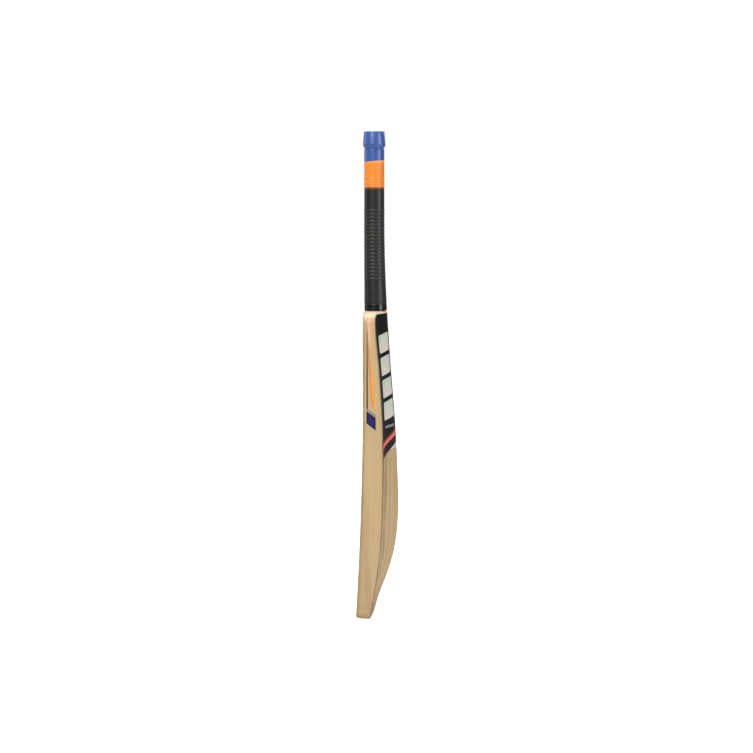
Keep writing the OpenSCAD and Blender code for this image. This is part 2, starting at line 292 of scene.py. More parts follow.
def makeScuffs():  # fine scratches and dust, as a mask
    tree, given, out = newGroup("scuffs", [
        ("Vector", "Vector", None), ("Size", "Float", 90.0), ("Amount", "Float", 0.5)],
        [("Mask", "Float"), ("Scratches", "Float")])
    vector = given["Vector"]
    cloud = addNode(tree, "ShaderNodeTexNoise", {}, {
        "Vector": vector, "Scale": given["Size"], "Detail": 6, "Roughness": 0.65}).outputs["Fac"]
    lines = remap(tree, noiseAt(tree, vector, 700, 2, 0.5, (1, 0.05, 0.35)), 0.68, 0.74)
    crossing = remap(tree, noiseAt(tree, vector, 650, 2, 0.5, (0.06, 1, 0.9)), 0.7, 0.76)
    threshold = minus(tree, 0.8, times(tree, given["Amount"], 0.35))
    feed(tree, out["Mask"], remap(tree, cloud, threshold, plus(tree, threshold, 0.2)))
    feed(tree, out["Scratches"], sums(tree, "MAXIMUM", lines, crossing))
    return tree


woodGrain = makeWoodGrain()
scuffs = makeScuffs()


# Geometry trees: ribs, laid sheets and wound twine.
def newTree(name, **labels):  # Float=[...] and so on name the inputs of each kind
    tree = bpy.data.node_groups.new(name, "GeometryNodeTree")
    for kind, names in {"Geometry": ["Geometry"], **labels, "Material": ["Material"]}.items():
        for label in names:
            tree.interface.new_socket(label, in_out="INPUT", socket_type="NodeSocket" + kind)
    tree.interface.new_socket("Geometry", in_out="OUTPUT", socket_type="NodeSocketGeometry")
    return tree, addNode(tree, "NodeGroupInput").outputs, addNode(tree, "NodeGroupOutput").inputs[0]


def closeTree(tree, given, out, geometry):
    real = addNode(tree, "GeometryNodeRealizeInstances", {}, {"Geometry": geometry})
    done = addNode(tree, "GeometryNodeSetMaterial", {}, {
        "Geometry": real.outputs[0], "Material": given["Material"]})
    feed(tree, out, done.outputs[0])


def useTree(obj, tree, values):
    modifier = obj.modifiers.new(tree.name, "NODES")
    modifier.node_group = tree
    for item in tree.interface.items_tree:
        if item.item_type == "SOCKET" and item.in_out == "INPUT" and item.name in values:
            modifier[item.identifier] = values[item.name]


def setPosition(tree, geometry, **places):
    return addNode(tree, "GeometryNodeSetPosition", {}, {"Geometry": geometry, **places}).outputs[0]


def scaled(tree, vector, scale):
    return addNode(tree, "ShaderNodeVectorMath", {"operation": "SCALE"}, {
        "Vector": vector, "Scale": scale}).outputs[0]


def makeRibTree():  # raises soft rings on the outside of a rubber tube
    tree, given, out = newTree("raiseRibs", Float=[
        "Rib Height", "Rib Pitch", "First Rib", "Last Rib", "Roundness"])
    z = separated(tree, addNode(tree, "GeometryNodeInputPosition").outputs[0])["Z"]
    down = minus(tree, given["First Rib"], z)
    turns = sums(tree, "DIVIDE", down, given["Rib Pitch"])
    wave = minus(tree, 0.5, times(tree, 0.5, sums(tree, "COSINE", times(tree, turns, 2 * math.pi))))
    ridge = sums(tree, "POWER", sums(tree, "MAXIMUM", wave, 0.0), given["Roundness"])
    ribbed = times(tree, sums(tree, "GREATER_THAN", down, 0.0),
                   sums(tree, "GREATER_THAN", z, given["Last Rib"]))
    outside = addNode(
        tree, "GeometryNodeInputNamedAttribute", {"data_type": "FLOAT"}, {"Name": "outside"})
    crest = times(tree, ridge, times(tree, ribbed, outside.outputs["Attribute"]))
    normal = addNode(tree, "GeometryNodeInputNormal").outputs[0]
    offset = scaled(tree, normal, times(tree, crest, given["Rib Height"]))
    marked = addNode(tree, "GeometryNodeStoreNamedAttribute", {"data_type": "FLOAT", "domain": "POINT"}, {
        "Geometry": given["Geometry"], "Name": "crest", "Value": crest})
    closeTree(tree, given, out, setPosition(tree, marked.outputs[0], Offset=offset))
    return tree


def makeLayTree():  # lays a flat sheet on the wood, along one direction
    tree, given, out = newTree("layOnWood", Object=["Wood"], Vector=["Direction"], Float=["Lift"])
    wood = addNode(tree, "GeometryNodeObjectInfo", {}, {"Object": given["Wood"]})
    ray = addNode(tree, "GeometryNodeRaycast", {"data_type": "FLOAT"}, {
        "Target Geometry": wood.outputs["Geometry"], "Ray Direction": given["Direction"], "Ray Length": 1.0,
        "Source Position": addNode(tree, "GeometryNodeInputPosition").outputs[0]})
    back = scaled(tree, given["Direction"], times(tree, given["Lift"], -1.0))
    resting = addNode(tree, "ShaderNodeVectorMath", {"operation": "ADD"}, {
        0: ray.outputs["Hit Position"], 1: back})
    closeTree(tree, given, out, setPosition(
        tree, given["Geometry"], Selection=ray.outputs["Is Hit"], Position=resting.outputs[0]))
    return tree


def makeTwineTree():  # winds one long strand round the flared handle
    tree, given, out = newTree("windTwine", Int=["Points"], Float=[
        "Top", "Foot", "Turns", "Thickness", "Handle Radius", "Flare Start", "Flare Side", "Flare Back",
        "Flare Power"])
    line = addNode(tree, "GeometryNodeMeshLine", {"mode": "OFFSET"}, {"Count": given["Points"]})
    index = addNode(tree, "GeometryNodeInputIndex").outputs[0]
    along = sums(tree, "DIVIDE", index, minus(tree, given["Points"], 1.0))
    z = plus(tree, given["Top"], times(tree, along, minus(tree, given["Foot"], given["Top"])))
    angle = times(tree, times(tree, along, given["Turns"]), 2 * math.pi)
    share = sums(tree, "DIVIDE", minus(tree, given["Flare Start"], z),
                 minus(tree, given["Flare Start"], given["Foot"]))
    flare = sums(tree, "POWER", sums(tree, "MAXIMUM", share, 0.0), given["Flare Power"])
    halfStrand = times(tree, given["Thickness"], 0.5)
    resting = plus(tree, given["Handle Radius"], halfStrand)
    halfBack = times(tree, times(tree, flare, given["Flare Back"]), 0.5)
    sideRadius = plus(tree, resting, times(tree, flare, given["Flare Side"]))
    backRadius = plus(tree, resting, halfBack)
    place = addNode(tree, "ShaderNodeCombineXYZ", {}, {
        "X": times(tree, sideRadius, sums(tree, "COSINE", angle)),
        "Y": plus(tree, halfBack, times(tree, backRadius, sums(tree, "SINE", angle))), "Z": z})
    wound = setPosition(tree, line.outputs[0], Position=place.outputs[0])
    curve = addNode(tree, "GeometryNodeMeshToCurve", {}, {"Mesh": wound})
    profile = addNode(tree, "GeometryNodeCurvePrimitiveCircle", {"mode": "RADIUS"}, {
        "Resolution": 5, "Radius": halfStrand})
    strand = addNode(tree, "GeometryNodeCurveToMesh", {}, {
        "Curve": curve.outputs[0], "Profile Curve": profile.outputs[0], "Fill Caps": True})
    closeTree(tree, given, out, strand.outputs[0])
    return tree


ribTree = makeRibTree()
layTree = makeLayTree()
twineTree = makeTwineTree()


# The blade, its faces and edges from the same rules as the CAD blade.
bladeShape = {
    "width": 0.108, "faceOffset": 0.017, "faceBow": 0.013, "bowStart": 0.73, "bowPower": 1.8,
    "faceCrown": 0.002, "edgeMost": 0.0374, "depthMost": 0.0638, "faceArris": 0.0055, "backArris": 0.0025,
    "shoulderCorner": 0.018, "toeCorner": 0.013, "toeRounding": 0.004, "shoulderRounding": 0.005,
    "toeTilt": 3.5, "toeTiltReach": 0.06,
    "edgeProfile": [[0, 0.68], [0.11, 0.84], [0.22, 0.985], [0.37, 1], [0.51, 0.985], [0.66, 0.9],
                    [0.81, 0.76], [0.92, 0.61], [1, 0.55]],
    "spineProfile": [[0, 0.45], [0.06, 0.57], [0.13, 0.765], [0.2, 0.915], [0.28, 0.99], [0.35, 1],
                     [0.48, 0.945], [0.62, 0.86], [0.81, 0.725], [1, 0.615]],
    "ringGap": 0.003, "facePoints": 44, "backPoints": 76, "arrisPoints": 7, "edgePoints": 8}
splice = {"depth": 0.150, "width": 0.039, "tip": 0.003, "glueLine": 0.00012, "cutReach": 0.1,
          "cutAbove": 0.01}
halfWidth = bladeShape["width"] / 2


def faceY(height):
    lean = np.maximum(0, 1 - height / (bladeShape["bowStart"] * bladeLength))
    return -bladeShape["faceOffset"] - bladeShape["faceBow"] * lean ** bladeShape["bowPower"]


def frontY(height, x):
    return faceY(height) - bladeShape["faceCrown"] * (1 - (x / halfWidth) ** 2)


def backY(height, x):
    edge = bladeShape["edgeMost"] * curveThrough(bladeShape["edgeProfile"], height / bladeLength)
    spine = bladeShape["depthMost"] * curveThrough(bladeShape["spineProfile"], height / bladeLength)
    bell = (1 + np.cos(np.pi * np.minimum(1, np.abs(x) / halfWidth))) / 2
    return faceY(height) + edge + (spine - edge) * bell


def toeLift(height, y):  # the toe is cut square to the bowed face, so its back side is lower
    toeBack = backY(0.0, 0.0) - bladeShape["toeRounding"]
    fade = max(0, 1 - height / bladeShape["toeTiltReach"])
    return math.tan(math.radians(bladeShape["toeTilt"])) * (toeBack - y) * fade


def bladeRing(height):
    s = bladeShape
    depth = bladeLength - height
    half = halfWidth - cornerInset(s["shoulderCorner"], depth) - cornerInset(s["toeCorner"], height)
    inset = cornerInset(s["toeRounding"], height) + cornerInset(s["shoulderRounding"], depth)
    xFace, xBack = half - s["faceArris"], half - s["backArris"]
    face = np.linspace(-xFace, xFace, s["facePoints"])
    back = np.linspace(xBack, -xBack, s["backPoints"])
    yFace = frontY(height, xFace) + inset + s["faceArris"]
    yBack = backY(height, xBack) - inset - s["backArris"]
    turn = np.linspace(-math.pi / 2, 0, s["arrisPoints"])[1:]
    rise = np.linspace(0, math.pi / 2, s["arrisPoints"])[:-1]
    edgeY = np.linspace(yFace, yBack, s["edgePoints"] + 1)[1:-1]
    right = np.concatenate([
        np.stack([xFace + s["faceArris"] * np.cos(turn), yFace + s["faceArris"] * np.sin(turn)], 1),
        np.stack([np.full_like(edgeY, half), edgeY], 1),
        np.stack([xBack + s["backArris"] * np.cos(rise), yBack + s["backArris"] * np.sin(rise)], 1)])
    ring = np.concatenate([np.stack([face, frontY(height, face) + inset], 1), right,
                           np.stack([back, backY(height, back) - inset], 1), right[::-1] * (-1, 1)])
    z = [zAt(height) + toeLift(height, y) for y in ring[:, 1]]
    return np.column_stack([ring, z])


def arcSteps(radius, count):
    return radius * (1 - np.cos(np.linspace(0, math.pi / 2, count)))


def bladeHeights():
    s = bladeShape
    low = np.concatenate([arcSteps(s["toeRounding"], 8), arcSteps(s["toeCorner"], 14)])
    high = bladeLength - np.concatenate([
        arcSteps(s["shoulderRounding"], 8), arcSteps(s["shoulderCorner"], 16)])
    middle = np.arange(s["toeCorner"] + s["ringGap"], bladeLength - s["shoulderCorner"], s["ringGap"])
    ordered = np.sort(np.concatenate([low, middle, high]))
    return ordered[np.concatenate([[True], np.diff(ordered) > 0.00015])]


def spliceRings(slack):  # the V of the splice, a little wider or narrower by slack
    foot, reach = bladeLength - splice["depth"], splice["cutReach"]
    rings = []
    for height, width in ((foot - slack * 4, splice["tip"]), (bladeLength, splice["width"]),
                          (bladeLength + splice["cutAbove"], splice["width"])):
        x, z = width / 2 + slack, zAt(height)
        rings.append(np.array([(-x, -reach, z), (x, -reach, z), (x, reach, z), (-x, reach, z)]))
    return rings


def cutWith(obj, cutter, operation):
    modifier = obj.modifiers.new(operation, "BOOLEAN")
    modifier.object, modifier.operation, modifier.solver = cutter, operation, "EXACT"
    settle(obj)


def copyOf(obj, name):
    return addObject(name, obj.data.copy())


blank = loftRings("bladeBlank", [bladeRing(h) for h in bladeHeights()])
slotCutter = loftRings("slotCutter", spliceRings(splice["glueLine"] / 2))
blade = copyOf(blank, "willow_blade")
cutWith(blade, slotCutter, "DIFFERENCE")
smooth(blade, 30)
print("blade shaped,", len(blade.data.polygons), "faces")


# The cane handle: one core, sliced into canes and rubber springs.
handleShape = {
    "caneRadius": 0.0155, "springThickness": 0.0012, "springPitch": 0.0075, "flareBack": 0.005,
    "flareStart": 0.160, "flarePower": 1.7, "rootDepth": 0.004, "twine": 0.0007, "gap": 0.00005,
    "gripWall": 0.0012, "ringPoints": 96}


def flareAt(height):
    top = batLength - handleShape["flareStart"]
    return np.clip((top - height) / (top - bladeLength), 0, 1) ** handleShape["flarePower"]


def handleRing(height, grow, around=None):
    s = handleShape
    f = float(flareAt(height))
    angle = np.linspace(0, 2 * math.pi, around or s["ringPoints"], endpoint=False)
    rx = s["caneRadius"] + (splice["width"] / 2 - s["caneRadius"]) * f + grow
    ry = s["caneRadius"] + s["flareBack"] * f / 2 + grow
    return np.stack([rx * np.cos(angle), s["flareBack"] * f / 2 + ry * np.sin(angle),
                     np.full_like(angle, zAt(height))], 1)


def keepBetween(bm, axis, low, high):  # cuts a closed mesh by two planes and caps the cuts
    for place, sign in ((low, -1), (high, 1)):
        if place is None:
            continue
        direction = np.eye(3)[axis]
        cut = bmesh.ops.bisect_plane(
            bm, geom=bm.verts[:] + bm.edges[:] + bm.faces[:], plane_co=direction * place,
            plane_no=direction * sign, clear_outer=True, dist=1e-7)
        rim = [e for e in cut["geom_cut"] if isinstance(e, bmesh.types.BMEdge)]
        bmesh.ops.triangle_fill(bm, use_beauty=True, use_dissolve=True, edges=rim)


def makeCore():
    wedge = copyOf(blank, "wedge")
    wedgeCutter = loftRings("wedgeCutter", spliceRings(-splice["glueLine"] / 2))
    cutWith(wedge, wedgeCutter, "INTERSECT")
    flared = np.linspace(bladeLength, batLength - handleShape["flareStart"], 40)
    heights = [bladeLength - handleShape["rootDepth"], *flared, batLength - 0.002, batLength]
    stem = loftRings("caneStem", [handleRing(h, 0) for h in heights])
    cutWith(stem, wedge, "UNION")
    for spare in (wedge, wedgeCutter):
        bpy.data.objects.remove(spare)
    return stem


core = makeCore()
columnWidth = 2 * handleShape["caneRadius"] / 3
columns = {"left": (None, -columnWidth / 2), "centre": (-columnWidth / 2, columnWidth / 2),
           "right": (columnWidth / 2, None)}
springPlaces = {"front": -handleShape["springPitch"], "middle": 0.0, "back": handleShape["springPitch"]}
halfSpring = handleShape["springThickness"] / 2
slipEdges = [None] + [y + side * halfSpring for y in springPlaces.values() for side in (-1, 1)] + [None]


def sliceCore(name, xRange, yRange):
    bm = bmesh.new()
    bm.from_mesh(core.data)
    keepBetween(bm, 1, *yRange)
    keepBetween(bm, 0, *xRange)
    bmesh.ops.recalc_face_normals(bm, faces=bm.faces)
    mesh = bpy.data.meshes.new(name)
    bm.to_mesh(mesh)
    bm.free()
    obj = addObject(name, mesh)
    smooth(obj, 30)
    return obj


canes = {}
for slip in range(4):
    for column, xRange in columns.items():
        nodeName = f"cane_{slip + 1}_{column}"
        canes[nodeName] = sliceCore(f"{nodeName}_strip", xRange, slipEdges[2 * slip:2 * slip + 2])
springs = {}
for place, y in springPlaces.items():
    nodeName = f"spring_{place}"
    springs[nodeName] = sliceCore(f"{nodeName}_sheet", (None, None), (y - halfSpring, y + halfSpring))
print("handle sliced into", len(canes), "canes and", len(springs), "springs")


# Twine and grip, all wrapped round the handle.
gripShape = {
    "collarRadius": 0.0195, "collarLength": 0.028, "neckEnd": 0.0505, "bandEnd": 0.0995,
    "boundaryTilt": 0.0018, "ribsStart": 0.132, "ribCount": 20, "ribPitch": 0.0062, "ribHeight": 0.00055,
    "ribRoundness": 2.2, "bandRibsStart": 0.0783, "bandRibCount": 4, "bandRibPitch": 0.0043,
    "footGap": 0.0005, "footRings": [[0.2903, 0.00016], [0.2975, 0.00022]], "footRingWidth": 0.0011,
    "tapeHeight": 0.0115, "tapeThickness": 0.0004, "tapeTurns": 2.6, "tapeRim": 0.0007, "wrinkle": 0.00004,
    "squeeze": 0.0005, "squeezeReach": 0.0025, "rimLength": 0.0006, "rimDrop": 0.0002, "ringGap": 0.0006,
    "around": 96}
twineShape = {"turns": 410, "pointsPerTurn": 20, "topGap": 0.002}
bore = handleShape["twine"] + handleShape["gap"]
gripOutside = bore + handleShape["gripWall"]
footHeight = bladeLength + gripShape["footGap"]
tapeTop = footHeight + gripShape["tapeHeight"]


def wrapTube(name, heights, outer, inner, tilt=lambda height: 0.0):
    # outer(height, angle) and inner stand off the bare cane, tilt(height) leans a ring towards the face
    around = gripShape["around"]
    angle = np.linspace(0, 2 * math.pi, around, endpoint=False)
    rings = [leanRing(handleRing(h, 0, around), angle, outer(h, angle), tilt(h)) for h in heights]
    rings += [leanRing(handleRing(h, inner, around), angle, 0, tilt(h)) for h in heights[::-1]]
    obj = loftRings(name, rings, tube=True)
    addValues(obj.data, "outside", np.repeat([1.0, 0.0], len(heights) * around))
    return obj


def leanRing(ring, angle, grow, lean):
    grow = np.broadcast_to(grow, angle.shape)
    moved = ring.copy()
    moved[:, 0] += grow * np.cos(angle)
    moved[:, 1] += grow * np.sin(angle)
    moved[:, 2] += lean * np.sin(angle)
    return moved


def makeTwine(material):
    obj = makeMesh("twine_winding", [(0, 0, 0)], [])
    shape = handleShape
    useTree(obj, twineTree, {
        "Top": -twineShape["topGap"] - shape["twine"] / 2, "Foot": zAt(footHeight) + shape["twine"] / 2,
        "Turns": float(twineShape["turns"]), "Points": twineShape["turns"] * twineShape["pointsPerTurn"],
        "Thickness": shape["twine"], "Handle Radius": shape["caneRadius"],
        "Flare Start": -shape["flareStart"], "Flare Side": splice["width"] / 2 - shape["caneRadius"],
        "Flare Back": shape["flareBack"], "Flare Power": shape["flarePower"], "Material": material})
    settle(obj)
    faceOutwards(obj)
    smooth(obj, 60)
    return obj


def raiseRibs(obj, material, start, count, pitch):  # start is the depth of the first rib
    useTree(obj, ribTree, {
        "Rib Height": gripShape["ribHeight"], "Rib Pitch": pitch, "First Rib": -start,
        "Last Rib": -start - count * pitch, "Roundness": gripShape["ribRoundness"], "Material": material})
    settle(obj)
    smooth(obj, 50)


def spacedHeights(high, low, gap):
    return np.linspace(high, low, max(2, int(round((high - low) / gap)) + 1))


def share(distance, length):  # 0 to 1 over a length
    return float(np.clip(distance / length, 0, 1))


def rimDrop(near):  # how far a tube's rim is rounded off, this far from its end
    return gripShape["rimDrop"] * share(gripShape["rimLength"] - near, gripShape["rimLength"]) ** 2


def tubeHeights(high, low):  # rings along a tube, closer together at its upper rim
    rim = gripShape["rimLength"]
    return np.concatenate([
        [high - handleShape["gap"], high - rim / 2], spacedHeights(high - rim, low, gripShape["ringGap"])])


def makeCollar():
    top = gripShape["collarRadius"] - handleShape["caneRadius"]
    length, neck, bare = gripShape["collarLength"], gripShape["neckEnd"], gripOutside
    profile = [  # depth below the handle's end, then standing off the cane
        (0.0, top - 0.0034), (0.0, top - 0.0029), (0.00015, top - 0.0025), (0.0004, top - 0.0021),
        (0.0009, top - 0.0018), (0.0018, top - 0.00155), (0.35 * length, top - 0.0008),
        (0.7 * length, top - 0.0001), (0.76 * length, top), (0.8 * length, top),
        (0.84 * length, top - 0.0001), (0.88 * length, top - 0.0005), (0.92 * length, top - 0.0010),
        (0.96 * length, top - 0.0016), (length - 0.0006, bare + 0.0005),
        (length - 0.0002, bare + 0.0001), (length, bare - 0.0006), (length + 0.0009, bare - 0.0007),
        (length + 0.0014, bare - 0.0003), (length + 0.002, bare + 0.0001), (length + 0.0035, bare)]
    profile += [(depth, bare) for depth in np.linspace(length + 0.005, neck - 0.0006, 16)]
    profile += [(neck - 0.0003, bare - 0.00004), (neck - 0.00005, bare - 0.0002)]
    heights = [batLength - depth for depth, _ in profile]
    stand = dict(zip(heights, [grow for _, grow in profile]))
    tiltStart = length + 0.003
    return wrapTube("blue_collar", heights, lambda height, angle: stand[height], bore, lambda height: (
        gripShape["boundaryTilt"] * share(batLength - height - tiltStart, neck - tiltStart)))


def makeBand():
    high, low = batLength - gripShape["neckEnd"], batLength - gripShape["bandEnd"]
    rim = gripShape["rimLength"]
    heights = np.concatenate([tubeHeights(high, low + rim), [low + rim / 2, low + handleShape["gap"]]])
    straightAfter = 0.02
    return wrapTube("orange_band", heights, lambda height, angle: (
        gripOutside - rimDrop(min(high - height, height - low))), bore, lambda height: (
        gripShape["boundaryTilt"] * (1 - share(high - height, straightAfter))))


def makeSleeve():
    high = batLength - gripShape["bandEnd"]

    def outer(height, angle):
        reach = gripShape["squeezeReach"]
        pinch = gripShape["squeeze"] * share(tapeTop + reach - height, reach)
        rings = sum(rise * math.exp(-((batLength - height - depth) / gripShape["footRingWidth"]) ** 2)
                    for depth, rise in gripShape["footRings"])
        return gripOutside - rimDrop(high - height) - pinch + rings

    return wrapTube("black_sleeve", tubeHeights(high, footHeight), outer, bore)


def makeTape():
    heights = spacedHeights(tapeTop, footHeight, 0.00035)
    base = gripOutside - gripShape["squeeze"] + handleShape["gap"]
    thick = gripShape["tapeThickness"] - 2 * gripShape["wrinkle"]

    def outer(height, angle):
        down = (tapeTop - height) / gripShape["tapeHeight"]
        lap = ((down * gripShape["tapeTurns"] + angle / (2 * math.pi)) % 1.0) ** 0.6
        wrinkle = gripShape["wrinkle"] * np.sin(5 * angle + 900 * height) * np.sin(3 * angle + 2)
        ends = share(min(tapeTop - height, height - footHeight), gripShape["tapeRim"]) ** 0.5
        return base + thick * (0.7 + 0.3 * lap) * (0.4 + 0.6 * ends) + wrinkle

    return wrapTube("foot_tape", heights, outer, base)


# Labels: flat sheets with round corners, laid on the wood and given a thin film's thickness.
labelShape = {
    "halfWidth": 0.050, "foot": 0.339, "topGap": 0.0035, "shoulderGap": 0.0035, "stripeDrop": 0.023,
    "sweepPower": 1.3, "orangeDepth": 0.011, "purpleDepth": 0.013, "purpleDrop": 0.028,
    "whiteDepth": 0.012, "whiteGap": 0.001, "panelRows": 4, "panelFoot": 0.353, "panelPitch": 0.039,
    "panelHeight": 0.032, "panelInner": 0.008, "panelOuter": 0.0395, "panelSlant": 0.009,
    "panelCorner": 0.0035, "barInner": 0.010, "barOuter": 0.038, "barFoot": 0.341, "barHeight": 0.0045,
    "barSlant": 0.0015, "barCorner": 0.001, "filmThickness": 0.00016, "groundLift": 0.00014,
    "printLift": 0.00024, "cell": 0.0016, "startAt": 0.1}
edgeShape = {
    "front": 0.0108, "width": 0.016, "bandLine": [0.379, 0.368], "blockLine": [0.374, 0.362],
    "blockFoot": [0.353, 0.340], "stripTop": 0.536, "taperStart": 0.450, "taperWidth": 0.014}


def sheetSteps(length, corner):  # shares of the length, closer together round its corners
    arcs = arcSteps(corner, 7) / length if corner else np.array([0.0])
    count = max(2, int(round(length / labelShape["cell"])))
    middle = np.linspace(0, 1, count + 1)[1:-1]
    middle = middle[(middle > arcs[-1]) & (middle < 1 - arcs[-1])]
    return np.concatenate([arcs, middle, 1 - arcs[::-1]])


def flatSheet(name, left, right, low, high, corner, place):
    # left(share) and right(share) bound it sideways, low(side) and high(side) bound its height
    middle = (left(0.5) + right(0.5)) / 2
    tall = high(middle) - low(middle)
    rows = sheetSteps(tall, corner)
    columns = np.linspace(0, 1, max(3, int(round((right(0.5) - left(0.5)) / labelShape["cell"])) + 1))
    points, marks = [], []
    for v in rows:
        inset = float(cornerInset(corner, min(v, 1 - v) * tall)) if corner else 0.0
        sides = left(v) + inset + (right(v) - left(v) - 2 * inset) * columns
        for u, side in zip(columns, sides):
            points.append(place(side, low(side) + (high(side) - low(side)) * v))
            marks.append((u, v))
    n = len(columns)
    faces = [(k * n + i, k * n + i + 1, (k + 1) * n + i + 1, (k + 1) * n + i)
             for k in range(len(rows) - 1) for i in range(n - 1)]
    obj = makeMesh(name, points, faces)
    layer = obj.data.uv_layers.new(name="sheet")
    corners = np.array([marks[loop.vertex_index] for loop in obj.data.loops], np.float32)
    layer.data.foreach_set("uv", corners.ravel())
    return obj


def layOn(obj, direction, lift, material):
    useTree(obj, layTree, {"Wood": blank, "Direction": direction, "Lift": lift, "Material": material})
    settle(obj)
    towards = sum((face.normal * face.area for face in obj.data.polygons), Vector())
    if towards.dot(Vector(direction)) > 0:
        obj.data.flip_normals()
    film = obj.modifiers.new("film", "SOLIDIFY")
    film.thickness, film.offset, film.use_even_offset = labelShape["filmThickness"], -1, False
    settle(obj)
    smooth(obj, 40)
    return obj


def joinPieces(pieces, name):
    with bpy.context.temp_override(active_object=pieces[0], selected_editable_objects=pieces):
        bpy.ops.object.join()
    pieces[0].name = name
    return pieces[0]


def backPlace(side, height):
    return side, labelShape["startAt"], zAt(height)


def slant(amount, side):  # a straight fall from the spine to each side
    return amount * (1 - abs(side) / labelShape["halfWidth"])


def sweep(amount, side):  # a curved fall from the spine to each side
    return -amount * (abs(side) / labelShape["halfWidth"]) ** labelShape["sweepPower"]


def shoulderLine(side):
    corner = bladeShape["shoulderCorner"]
    beyond = max(0.0, abs(side) - halfWidth + corner)
    return bladeLength - float(cornerInset(corner, corner - beyond))


def backSheet(name, span, low, high, lift, material, corner=0.0):
    sheet = flatSheet(name, lambda v: span[0], lambda v: span[1], low, high, corner, backPlace)
    return layOn(sheet, (0.0, -1.0, 0.0), lift, material)


def makePairs(name, span, feet, height, fall, corner, material):
    # slanted marks, one each side of the spine at each foot
    sheets = []
    for foot in feet:
        for edges in ((-span[1], -span[0]), span):
            sheets.append(backSheet(f"{name}_mark", edges, lambda x, f=foot: f + slant(fall, x),
                                    lambda x, f=foot: f + height + slant(fall, x), labelShape["printLift"],
                                    material, corner))
    return joinPieces(sheets, name)


def makeBackLabel(inks):
    s = labelShape
    half, foot, lift = s["halfWidth"], s["foot"], s["groundLift"]
    orangeFoot = foot - s["orangeDepth"]
    purpleFoot = orangeFoot - s["purpleDepth"]
    whiteFoot = purpleFoot - s["whiteDepth"]
    whiteHalf = half * (s["whiteDepth"] / s["purpleDrop"]) ** (1 / s["sweepPower"]) - s["whiteGap"]

    def top(x):
        return min(bladeLength - s["topGap"], shoulderLine(x) - s["shoulderGap"])

    def edge(height, drop):
        return lambda x: height + sweep(drop, x)

    groundFoot, orangeEdge = edge(foot, s["stripeDrop"]), edge(orangeFoot, s["stripeDrop"])
    purpleEdge = edge(purpleFoot, s["purpleDrop"])
    for node, slotName, name, reach, low, high in (
            ("back_label_ground", "label_black", "black_ground", half, groundFoot, top),
            ("back_stripe_orange", "label_salmon", "salmon_stripe", half, orangeEdge, groundFoot),
            ("back_stripe_purple", "label_purple", "purple_stripe", half, purpleEdge, orangeEdge),
            ("back_stripe_white", "label_white", "white_wedge", whiteHalf, edge(whiteFoot, 0), purpleEdge)):
        sheet = backSheet(name, (-reach, reach), low, high, lift, inks[slotName])
        finishPiece(sheet, node, inks[slotName])
    rows = [s["panelFoot"] + row * s["panelPitch"] for row in range(s["panelRows"])]
    for node, slotName, name, mark, feet in (
            ("back_label_panels", "label_silver", "silver_panels", "panel", rows),
            ("back_label_bars", "label_grey", "grey_bars", "bar", [s["barFoot"]])):
        marks = makePairs(name, (s[mark + "Inner"], s[mark + "Outer"]), feet, s[mark + "Height"],
                          s[mark + "Slant"], s[mark + "Corner"], inks[slotName])
        finishPiece(marks, node, inks[slotName])


def makeEdgeLabels(side, sign, inks):  # sheets in (distance behind the pinstripe, height)
    s = edgeShape
    width = s["width"]

    def lean(line):
        return lambda x: line[0] + (line[1] - line[0]) * x / width

    def taper(v):  # the strip narrows towards its top
        height = s["bandLine"][1] + (s["stripTop"] - s["bandLine"][1]) * v
        over = max(0.0, (height - s["taperStart"]) / (s["stripTop"] - s["taperStart"]))
        return width + (s["taperWidth"] - width) * over

    bandLine, blockLine, blockFoot = lean(s["bandLine"]), lean(s["blockLine"]), lean(s["blockFoot"])
    sheets = (
        ("edge_strip", "label_flame", "flame_strip", taper, bandLine, lambda x: s["stripTop"]),
        ("edge_band", "label_grey", "grey_band", lambda v: width, blockLine, bandLine),
        ("edge_block", "label_blue", "blue_block", lambda v: width, blockFoot, blockLine))
    for node, slotName, name, right, low, high in sheets:
        sheet = flatSheet(f"{name}_{side}", lambda v: 0.0, right, low, high, 0.0,
                          lambda x, h: (sign * labelShape["startAt"], x - s["front"], zAt(h)))
        layOn(sheet, (-sign, 0.0, 0.0), labelShape["groundLift"], inks[slotName])
        finishPiece(sheet, f"{node}_{side}", inks[slotName])


# Finishes.
# two of these colours are painted light: a shade along the back of each edge and a highlight on the
# shoulder
woodLook = {"light": (208, 179, 135), "dark": (148, 119, 77), "ringSpacing": 0.0105, "wander": 0.016,
            "lineStrength": 0.3, "roughness": 0.44, "handled": (150, 128, 104), "hollowShade": (124, 98, 66),
            "shoulderHighlight": (250, 234, 204), "toeGrime": (120, 104, 84)}
caneLook = {"light": (228, 198, 142), "dark": (172, 128, 76), "pore": (104, 70, 40), "sawn": (150, 110, 66)}
flameLook = {"blush": (252, 196, 166), "stripeLow": (66, 46, 32), "stripeHigh": (150, 112, 66),
             "tongues": [  # shift across, half width, fade, top, strength, colour
                 (-0.1, 0.22, 0.32, 0.9, 0.7, (224, 170, 112)),
                 (-0.14, 0.03, 0.14, 0.9, 0.5, (192, 124, 62)),
                 (0.04, 0.03, 0.16, 0.5, 0.9, (250, 166, 60))]}


def willowGrain(tree, coords):
    return useGroup(tree, woodGrain, {
        "Vector": coords, "Ring Spacing": woodLook["ringSpacing"], "Wander": woodLook["wander"],
        "Light": (*srgb(*woodLook["light"]), 1), "Dark": (*srgb(*woodLook["dark"]), 1),
        "Line Strength": woodLook["lineStrength"]})


